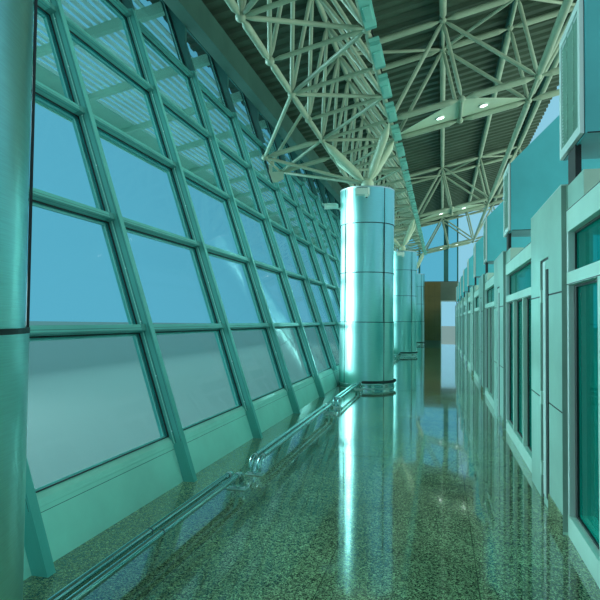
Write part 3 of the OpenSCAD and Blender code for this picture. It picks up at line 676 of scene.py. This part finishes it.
class PASSAGE_OT_wall_fittings(bpy.types.Operator):
    """Adds the strips and screws of the mullions, the sleeves of the transoms and the nose of the kerb, with
    painted shade on the sleeves, the mullions' edge lines and the transoms' inner faces
    """

    bl_idname = "passage.wall_fittings"
    bl_label = "Add wall fittings"

    def execute(self, context):
        _, colours = settings()
        pale = shared("seam_paint", tint(colours.kerb_paint, 1))
        # the dark paint is for the grooves and joints, and is also painted shade in the mullions' edge lines
        # and on the transoms' inner faces
        dark = shared("cleat_paint", tint(colours.wall_paint, 0.42))
        self.add_mullion_strips(pale, dark)
        self.add_screws(shared("screw_paint", tint(colours.kerb_paint, 1.5)))
        # painted shade: the transom sleeves get a darker copy of the wall paint for the shade where transoms
        # meet the mullions
        self.add_shade_sleeves(shared("sleeve_paint", tint(colours.wall_paint, 0.62)))
        self.add_bay_strips(pale, dark)
        return {"FINISHED"}

    def add_mullion_strips(self, pale, dark):
        """Seam, groove and edge line on both sides of each mullion, shorter where it is cut back; the dark
        edge line is painted shade of the mullion's unlit inner face.
        """
        beside = MULLIONS[::MULLIONS_PER_COLUMN]
        between = [y for y in MULLIONS if y not in beside]
        mirror = Matrix.Scale(-1, 4, (0, 1, 0))
        for name, deep, wide, out, paint, slot in (
                ("mullion_seams", -0.082, 0.008, 0.003, pale, "kerb_panel"),
                ("mullion_grooves", -0.066, 0.007, 0.0015, dark, "dark_metal"),
                # painted shade: a dark edge line for the mullion's unlit inner face
                ("mullion_edges", -0.014, 0.005, 0.0012, dark, "dark_metal")):
            strips = []
            for height, group in ((CUT_MULLION_HEIGHT, beside), (MULLION_HEIGHT, between)):
                strip = block((deep - wide, 0, MULLION_FOOT), (deep, out, height / math.cos(LEAN)), 0.0005)
                places = [WALL @ along(y + MULLION_HALF) for y in group]
                places += [WALL @ along(y - MULLION_HALF) @ mirror for y in group]
                strips.append(repeat(strip, places))
            settle(name, join(*strips), slot, paint)

    def add_screws(self, paint):
        """A line of screw heads up the near side of each mullion."""
        deep, proud, lowest, pitch = -0.078, 0.009, 0.12, 0.55
        screw = rod((deep, 0, MULLION_FOOT), (deep, 0.006, MULLION_FOOT), 0.008, 8, 0.002)
        places = [WALL @ Matrix.Translation((0, y - MULLION_HALF - proud, lowest + pitch * step))
                  for y in MULLIONS for step in range(9)]
        settle("mullion_screws", repeat(screw, places), "polished_steel", paint)

    def add_shade_sleeves(self, paint):
        """A sleeve round each end of each transom, painted darker as the shade where the transom meets the
        mullion.
        """
        length = 0.085
        sleeve = block((-0.118, 0, -0.0335), (-0.0415, length, 0.0335), 0.002)
        ends = [y + MULLION_HALF for y in MULLIONS] + [y - MULLION_HALF - length for y in MULLIONS]
        places = [WALL @ Matrix.Translation((0, y, row(k))) for y in ends for k in range(1, ROWS)]
        settle("transom_cleats", repeat(sleeve, places), "dark_metal", paint)

    def add_bay_strips(self, pale, dark):
        """Dark lines on the transoms, and the nose and joint line of the kerb, in each full bay; the two
        lines on each transom's inner face are painted shade of that unlit face, the line under it a joint
        line.
        """
        bays = [y + MULLION_HALF for y in MULLIONS[:-1]]
        crossings = [WALL @ Matrix.Translation((0, y, row(k))) for y in bays for k in range(1, ROWS)]
        # painted shade: the two strips on each transom's inner face; the third strip is a joint line on the
        # underside
        joints = [repeat(block((inner, 0, low), (outer, PANE_WIDTH, high), 0.0003), crossings)
                  for inner, low, outer, high in ((-0.0445, -0.008, -0.0435, -0.002),
                                                  (-0.0445, -0.0295, -0.0435, -0.0235),
                                                  (-0.075, -0.0315, -0.070, -0.0295))]
        settle("transom_joints", join(*joints), "dark_metal", dark)
        steps = [WALL @ along(y) for y in bays]
        nose = block((-0.1085, 0, row(0) - 0.012), (-0.0985, PANE_WIDTH, row(0) + 0.006), 0.002)
        settle("kerb_noses", repeat(nose, steps), "kerb_panel", pale)
        line = block((-0.1085, 0, row(0) - 0.047), (-0.1025, PANE_WIDTH, row(0) - 0.043), 0.0005)
        settle("kerb_joints", repeat(line, steps), "dark_metal", dark)


class PASSAGE_OT_column_fittings(bpy.types.Operator):
    """Adds the joint strips, the polished rings, the lamp box and the lookout of each column"""

    bl_idname = "passage.column_fittings"
    bl_label = "Add column fittings"

    def execute(self, context):
        joints = [hoop(COLUMN_RADIUS + 0.0012, z - 0.008, z + 0.008, 0.006) for z in COLUMN_JOINTS]
        strip = block((COLUMN_RADIUS - 0.007, -0.010, 0.10), (COLUMN_RADIUS + 0.0015, 0.010, 4.584), 0.001)
        quarters = [Matrix.Rotation(math.radians(45 + 90 * k), 4, "Z") for k in range(4)]
        joints.append(repeat(strip, quarters))
        settle("column_gaskets", repeat(join(*joints), COLUMNS), "black_rubber", rubber())
        cap = hoop(COLUMN_RADIUS + 0.0035, 4.583, 4.609, 0.004)
        skirting_top = hoop(COLUMN_RADIUS + 0.0100, 0.093, 0.101, 0.009)
        foot = hoop(COLUMN_RADIUS + 0.0135, 0.0005, 0.014, 0.005)
        settle("column_rings", repeat(join(cap, skirting_top, foot), COLUMNS), "polished_steel",
               built("polished_steel"))
        housings = join(*self.lamp_box(), *self.lookout())
        settle("column_boxes", repeat(housings, COLUMNS), "grille_metal", fitting_paint())
        lenses = join(rod((0.065, -0.67, 4.322), (0.065, -0.67, 4.337), 0.024),
                      block((-0.15, -0.7155, 4.545), (0.09, -0.66, 4.5565), 0.001),
                      rod((-0.998, -0.1995, 4.2402), (-1.006, -0.2015, 4.2396), 0.044))
        settle("column_lenses", repeat(lenses, COLUMNS), "dark_metal",
               shared("lens_paint", (0.02, 0.05, 0.05), 0.1))
        return {"FINISHED"}

    def lamp_box(self):
        """Body, back plate and spout of the box under the column's top, on its near side."""
        return (block((-0.18, -0.715, 4.40), (0.12, -0.628, 4.555), 0.012, 3),
                block((-0.19, -0.650, 4.38), (0.13, -0.622, 4.57), 0.004, 2),
                block((0.03, -0.700, 4.335), (0.10, -0.640, 4.402), 0.006, 2))

    def lookout(self):
        """Barrel, hood, arm and foot of the lookout on the column's window side."""
        return (rod((-0.68, -0.12, 4.262), (-1.00, -0.20, 4.240), 0.060, 20, 0.010),
                block((-1.05, -0.285, 4.295), (-0.70, -0.065, 4.309), 0.005, 2),
                rod((-0.60, -0.10, 4.19), (-0.78, -0.145, 4.225), 0.018, 12),
                rod((-0.625, -0.11, 4.19), (-0.645, -0.113, 4.19), 0.05))


class PASSAGE_OT_rail_fittings(bpy.types.Operator):
    """Adds the sleeves, the rubber rings, the foot plates and the collars of the guard rails"""

    bl_idname = "passage.rail_fittings"
    bl_label = "Add rail fittings"

    def execute(self, context):
        starts, ends = (list(side) for side in zip(*RAIL_RUNS))
        bays = [Matrix.Translation(at(RAIL_X, COLUMN_START + COLUMN_BAY * n, 0)) for n in range(3)]
        tubes = [bay @ Matrix.Translation((side, 0, 0)) for bay in bays for side in (-0.042, 0.042)]
        sleeves = [y + 0.19 for y in starts] + [y - 0.23 for y in ends]
        sleeve = rod((0, 0, RAIL_HEIGHT), (0, 0.04, RAIL_HEIGHT), 0.0268, 24, 0.0015)
        settle("rail_sleeves", repeat(sleeve, [tube @ along(y) for tube in tubes for y in sleeves]),
               "polished_steel", built("polished_steel"))
        joints = [(start + end) / 2 for start, end in RAIL_RUNS]
        joints += [y + 0.235 for y in starts] + [y - 0.243 for y in ends]
        turned = Matrix.Translation((0, 0, RAIL_HEIGHT)) @ Matrix.Rotation(math.radians(-90), 4, "X")
        ring = hoop(0.0262, 0, 0.008, 0.002, 24)
        settle("rail_joints", repeat(ring, [tube @ along(y) @ turned for tube in tubes for y in joints]),
               "black_rubber", rubber())
        feet = [y + 0.09 for y in starts] + [y - 0.09 for y in ends]
        plate = block((-0.092, -0.050, 0.0004), (0.092, 0.050, 0.0115), 0.004, 3)
        bright = sheet_metal("plate_steel", (0.62, 0.80, 0.74), 0.42, (60, 60, 1), metallic=0.5)
        settle("rail_plates", repeat(plate, [bay @ along(y) for bay in bays for y in feet]),
               "polished_steel", bright)
        collar = hoop(0.031, 0.012, 0.026, 0.006, 24)
        settle("rail_collars", repeat(collar, [tube @ along(y) for tube in tubes for y in feet]),
               "polished_steel", built("polished_steel"))
        return {"FINISHED"}


class PASSAGE_OT_gate_frames(bpy.types.Operator):
    """Adds the jambs, gaskets and sash edges of the gate glazing"""

    bl_idname = "passage.gate_frames"
    bl_label = "Add gate frames"

    def execute(self, context):
        bays = [gate @ along(PILASTER_WIDTH) for gate in GATES[:-1]]
        jamb, near, far = 0.045, 0.0005, 2.6545
        jambs = [block((0.9205, start, low), (PANE_FACE, start + jamb, high), 0.003, 2)
                 for start in (near, far) for low, high in ((SILL_TOP, BAND_LOW), (BAND_TOP, FASCIA_LOW))]
        settle("gate_jambs", repeat(join(*jambs), bays), "gate_frame", built("gate_frame"))
        lights = [(near + jamb, 0.87), (0.93, 1.77), (1.83, far)]
        seals = [border(PANE_FACE, (start, SILL_TOP), (end, BAND_LOW), 0.016, -0.014)
                 for start, end in lights]
        seals.append(border(PANE_FACE, (near + jamb, BAND_TOP), (far, FASCIA_LOW), 0.014, -0.012))
        low, high = SILL_TOP + 0.002, BAND_LOW - 0.002
        seals += [block((0.962, end - 0.052, low), (0.9795, end - 0.001, high), 0.002)
                  for _, end in lights]
        seals += [block((0.9185, near, z - 0.003), (0.9200, 2.6995, z + 0.003), 0.0005)
                  for z in (1.8205, 2.3645)]
        settle("gate_gaskets", repeat(join(*seals), bays), "black_rubber", rubber())
        return {"FINISHED"}


class PASSAGE_OT_pilaster_trim(bpy.types.Operator):
    """Adds the dark joints, the slot lining, the pale trim, the returns and the caps of the pilasters, with a
    painted shadow under the recess head and painted shade on the returns
    """

    bl_idname = "passage.pilaster_trim"
    bl_label = "Add pilaster trim"

    def execute(self, context):
        _, colours = settings()
        joints = [block((0.8865, start, z - 0.0065), (0.8985, end, z + 0.0065), 0.0008)
                  for z in (0.88, 1.77) for start, end in ((0.0005, SLOT_START - 0.0005), (0.9505, 1.4995))]
        settle("pilaster_joints", repeat(join(*joints, *self.slot_lining(), *self.recess_edges()), GATES),
               "black_rubber", rubber())
        trim = block((0.8800, 0.6800, 0.072), (0.8848, 0.7950, 2.060), 0.0015, 2)
        settle("slot_trims", repeat(trim, GATES), "gate_frame", built("gate_frame"))
        # painted shade: each pilaster's near end face gets a half-dark copy of the panel paint
        plate = block((0.8860, -0.0022, 0.02), (0.9195, -0.0003, 2.555), 0.0004)
        settle("pilaster_returns", repeat(plate, GATES[1:]), "gate_glass",
               shared("return_paint", tint(colours.panel, 0.5)))
        cap = block((0.8825, 0, 2.5605), (1.1, PILASTER_WIDTH, 2.566), 0.001)
        settle("pilaster_caps", repeat(cap, GATES), "gate_frame", built("gate_frame"))
        return {"FINISHED"}

    def slot_lining(self):
        """Back, far side and lip of the dark lining in the upright slot."""
        low, high = 0.0705, 1.9895
        return (block((0.915, SLOT_START + 0.0005, low), (0.9325, SLOT_END - 0.0005, high), 0.001),
                block((0.8868, SLOT_END - 0.0080, low), (0.9145, SLOT_END - 0.0005, high), 0.0008),
                block((0.8832, SLOT_END - 0.0015, low), (0.8849, 0.6680, high), 0.0004))

    def recess_edges(self):
        """Dark lines along both sides of the shallow recess beside the slot, and a painted shadow along its
        top, under the head.
        """
        top = 2.0655
        # painted shadow: the dark block along the top of the recess, under the head
        return (block((0.8905, SLOT_START + 0.0005, 2.0665), (0.908, 0.9495, 2.0895), 0.001),
                block((0.9005, 0.9150, 0.001), (0.9088, 0.9495, top), 0.001),
                block((0.9005, 0.8005, 0.001), (0.9088, 0.8150, top), 0.001))


class PASSAGE_OT_duct_louvres(bpy.types.Operator):
    """Replaces the plain grilles with framed louvres, and adds the flanges of the duct boxes"""

    bl_idname = "passage.duct_louvres"
    bl_label = "Add duct louvres"

    def execute(self, context):
        ducts = GATES[1:]
        low, high = self.corners(0)
        inner_low, inner_high = self.corners(-GRILLE_FRAME)
        frames = (border(0.9298, low, high, GRILLE_FRAME, -0.0248),
                  border(0.9260, inner_low, inner_high, 0.012, -0.010))
        settle("duct_grille_frames", repeat(join(*frames), ducts), "grille_metal", built("gate_frame"),
               "duct_grilles")
        near, far = inner_low[0] + 0.001, inner_high[0] - 0.001
        blade = block((-0.0085, near, -0.0012), (0.0085, far, 0.0012), 0.0004)
        tilt = Matrix.Rotation(math.radians(35), 4, "Y")
        heights = [inner_low[1] + 0.018 + 0.0245 * step for step in range(31)]
        places = [duct @ Matrix.Translation((0.9185, 0, z)) @ tilt for duct in ducts for z in heights]
        bars = [block((0.9098, y, inner_low[1]), (0.9270, y + 0.009, inner_high[1]), 0.001)
                for y in (-0.295, -0.085)]
        settle("duct_blades", join(repeat(blade, places), repeat(join(*bars), ducts)), "grille_metal",
               shared("blade_paint", (0.34, 0.55, 0.46)))
        back = block((0.9275, *inner_low), (0.9297, *inner_high), 0.0005)
        seam = border(0.9345, *self.corners(0.001), 0.003, -0.004)
        edge = block((0.950, low[0] - 0.0035, low[1] - 0.003), (2.20, low[0] - 0.0003, low[1] + 0.006), 0.001)
        settle("duct_backs", repeat(join(back, seam, edge), ducts), "black_rubber", rubber())
        flange = border(0.9480, *self.corners(0.006), 0.0065, -0.009)
        settle("duct_flanges", repeat(flange, ducts), "duct_metal", duct_paint())
        return {"FINISHED"}

    def corners(self, margin):
        """Both corners (y, z) of a duct's face, moved outwards by a margin."""
        return (-0.52 - margin, 2.785 - margin), (0.15 + margin, 3.70 + margin)


class PASSAGE_OT_roof_fittings(bpy.types.Operator):
    """Adds the lamp rims, and the trays, lids and cable loops of the uplights"""

    bl_idname = "passage.roof_fittings"
    bl_label = "Add roof fittings"

    def execute(self, context):
        nodes = [0.11 + 1.4 * n for n in range(29)]
        lamps = [ROOF @ Matrix.Translation((x, y + 0.89, 0)) for y in nodes[::9] for x in (2.73, 3.73)]
        rim = hoop(0.104, 0.012, 0.0375, 0.018, 32)
        settle("lamp_rims", repeat(rim, lamps), "grille_metal", fitting_paint())
        boxes = [ROOF @ Matrix.Translation((1.59, y + 0.2, -0.1373)) for y in nodes[:-1]]
        tray = join(block((-0.012, 0.10, -0.012), (0.172, 0.90, 0.006), 0.003, 2),
                    block((-0.006, -0.004, 0.010), (0.166, 0.012, 0.070), 0.002),
                    block((-0.006, 0.988, 0.010), (0.166, 1.004, 0.070), 0.002),
                    block((0.02, 0.30, -0.045), (0.14, 0.70, -0.012), 0.008, 2))
        settle("uplight_trays", repeat(tray, boxes), "uplight_metal",
               shared("tray_paint", (0.22, 0.62, 0.54)))
        settle("uplight_cables", repeat(self.cable(), [box @ along(-0.07) for box in boxes]),
               "black_rubber", rubber())
        return {"FINISHED"}

    def cable(self):
        """A half loop of cable from one uplight to the next."""
        middle = Vector((0.08, 0, 0.04))
        bpy.ops.object.select_all(action="DESELECT")
        bpy.ops.mesh.primitive_circle_add(vertices=8, radius=0.012, location=middle - Vector((0, 0.13, 0)))
        bpy.ops.object.transform_apply()
        return sweep(10, 180, middle, (1, 0, 0))


class PASSAGE_OT_end_trim(bpy.types.Operator):
    """Adds the frame of the end doorway and the joints of the end wall"""

    bl_idname = "passage.end_trim"
    bl_label = "Add end trim"

    def execute(self, context):
        wall = Matrix.Translation(at(0, INNER_END, 0))
        frame = join(block((-0.07, -0.018, 0.001), (-0.002, -0.0003, 2.92), 0.003, 2),
                     block((-0.07, -0.018, 2.852), (0.884, -0.0003, 2.92), 0.003, 2))
        settle("end_door_frame", repeat(frame, [wall]), "gate_frame", built("gate_frame"))
        lines = [block((x, -0.0215, 0.26), (x + 0.006, -0.0203, 4.14), 0.0003) for x in (-0.81, -0.43)]
        lines += [block((-1.19, -0.0215, z), (-0.06, -0.0203, z + 0.006), 0.0003) for z in (1.2, 2.2, 3.2)]
        lines += [block((-3.6, -0.003, 4.18), (0.884, -0.0003, 4.199), 0.0005),
                  block((-2.2, -0.003, 0.001), (-1.2, -0.0003, 0.12), 0.0005)]
        settle("end_joints", repeat(join(*lines), [wall]), "dark_metal", rubber())
        return {"FINISHED"}


class PASSAGE_OT_stage(bpy.types.Operator):
    """Adds the camera, the pale floor, the lamps and the world"""

    bl_idname = "passage.stage"
    bl_label = "Set stage"

    def execute(self, context):
        view, colours = settings()
        self.add_camera(view)
        bpy.ops.mesh.primitive_plane_add(size=400, location=(0, 0, -0.002))
        ground = bpy.context.object
        ground.name = "stage_floor"
        material, _ = finish("stage_floor", colours.stage, 0.9)
        ground.data.materials.append(material)
        self.add_sun("stage_sun", (0, math.radians(-48), math.radians(-20)), 1.2, 12)
        self.add_softbox("stage_window_light", at(-14, 20, 3.8), (0, -1, 0), 44, 5.2, 2600,
                         (1.0, 0.95, 0.86), 110)
        hall = self.add_softbox("stage_hall_light", at(9, 20, 5.0), (0, 1, 0), 40, 6, 2400, (0.92, 1.0, 0.88))
        hall.visible_glossy = False
        strip = self.add_softbox("stage_strip_light", at(-12.5, 8.6, 5.5), (0, -1, 0), 3.4, 10, 1700,
                                 (1.0, 0.86, 0.80), 110)
        strip.visible_diffuse = False
        self.light_world(colours)
        bpy.context.scene.view_settings.view_transform = "Standard"
        return {"FINISHED"}

    def add_camera(self, view):
        turn, rise, roll = view.turn, view.rise, view.roll
        forward = Vector((-math.sin(turn) * math.cos(rise), math.cos(turn) * math.cos(rise), math.sin(rise)))
        level = Vector((math.cos(turn), math.sin(turn), 0))
        above = level.cross(forward)
        right = level * math.cos(roll) + above * math.sin(roll)
        up = above * math.cos(roll) - level * math.sin(roll)
        bpy.ops.object.camera_add()
        camera = bpy.context.object
        camera.name = "view_camera"
        turned = Matrix((right, up, -forward)).transposed().to_4x4()
        camera.matrix_world = Matrix.Translation(at(*view.eye)) @ turned
        camera.data.sensor_width = 36
        camera.data.lens = view.lens
        camera.data.clip_start = 0.02
        camera.data.clip_end = 500
        bpy.context.scene.camera = camera

    def add_sun(self, name, rotation, energy, spread):
        bpy.ops.object.light_add(type="SUN", rotation=rotation)
        sun = bpy.context.object
        sun.name = name
        sun.data.energy = energy
        sun.data.angle = math.radians(spread)

    def add_softbox(self, name, centre, turned, length, height, power, tone, spread=180):
        """A large soft lamp that isn't seen itself, turned about each axis in quarter turns."""
        bpy.ops.object.light_add(type="AREA", location=centre,
                                 rotation=[math.radians(90 * part) for part in turned])
        softbox = bpy.context.object
        softbox.name = name
        softbox.data.shape = "RECTANGLE"
        softbox.data.size = height
        softbox.data.size_y = length
        softbox.data.energy = power
        softbox.data.color = tone
        softbox.data.spread = math.radians(spread)
        softbox.visible_camera = False
        return softbox

    def light_world(self, colours):
        """Even light, and the pale backdrop where the camera, a mirror or a pane looks past the object."""
        world = bpy.data.worlds.new("stage_world")
        world.use_nodes = True
        bpy.context.scene.world = world
        tree = world.node_tree
        light = tree.nodes["Background"]
        light.inputs["Color"].default_value = (0.74, 0.92, 0.85, 1)
        light.inputs["Strength"].default_value = 0.75
        seen = tree.nodes.new("ShaderNodeBackground")
        seen.inputs["Color"].default_value = (*colours.backdrop, 1)
        rays = tree.nodes.new("ShaderNodeLightPath")
        looks = rays.outputs["Is Camera Ray"]
        for kind in ("Is Glossy Ray", "Is Transmission Ray"):
            larger = tree.nodes.new("ShaderNodeMath")
            larger.operation = "MAXIMUM"
            tree.links.new(looks, larger.inputs[0])
            tree.links.new(rays.outputs[kind], larger.inputs[1])
            looks = larger.outputs["Value"]
        both = tree.nodes.new("ShaderNodeMixShader")
        tree.links.new(looks, both.inputs["Fac"])
        tree.links.new(light.outputs["Background"], both.inputs[1])
        tree.links.new(seen.outputs["Background"], both.inputs[2])
        tree.links.new(both.outputs["Shader"], tree.nodes["World Output"].inputs["Surface"])


class PASSAGE_PT_panel(bpy.types.Panel):
    """Lists the dressing steps"""

    bl_idname = "PASSAGE_PT_panel"
    bl_label = "Glazed passage"
    bl_space_type = "VIEW_3D"
    bl_region_type = "UI"
    bl_category = "Passage"

    def draw(self, context):
        for operator in OPERATORS:
            self.layout.operator(operator.bl_idname)


OPERATORS = (PASSAGE_OT_floor, PASSAGE_OT_leaning_wall, PASSAGE_OT_columns, PASSAGE_OT_roof,
             PASSAGE_OT_gate_front, PASSAGE_OT_wall_gaskets, PASSAGE_OT_wall_fittings,
             PASSAGE_OT_column_fittings, PASSAGE_OT_rail_fittings, PASSAGE_OT_gate_frames,
             PASSAGE_OT_pilaster_trim, PASSAGE_OT_duct_louvres, PASSAGE_OT_roof_fittings,
             PASSAGE_OT_end_trim, PASSAGE_OT_stage)
CLASSES = (PassageView, PassageColours, *OPERATORS, PASSAGE_PT_panel)


def register():
    """Adds the classes and the scene's settings."""
    for cls in CLASSES:
        bpy.utils.register_class(cls)
    bpy.types.Scene.passage_view = PointerProperty(type=PassageView)
    bpy.types.Scene.passage_colours = PointerProperty(type=PassageColours)


def unregister():
    """Takes the settings and the classes out again."""
    del bpy.types.Scene.passage_colours
    del bpy.types.Scene.passage_view
    for cls in reversed(CLASSES):
        bpy.utils.unregister_class(cls)


def main():
    """Dresses the passage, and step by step."""
    register()
    bpy.ops.passage.stage()
    bpy.ops.passage.floor()
    bpy.ops.passage.leaning_wall()
    bpy.ops.passage.columns()
    bpy.ops.passage.roof()
    bpy.ops.passage.gate_front()
    bpy.ops.passage.wall_gaskets()
    bpy.ops.passage.wall_fittings()
    bpy.ops.passage.column_fittings()
    bpy.ops.passage.rail_fittings()
    bpy.ops.passage.gate_frames()
    bpy.ops.passage.pilaster_trim()
    bpy.ops.passage.duct_louvres()
    bpy.ops.passage.roof_fittings()
    bpy.ops.passage.end_trim()


if __name__ == "__main__":
    main()
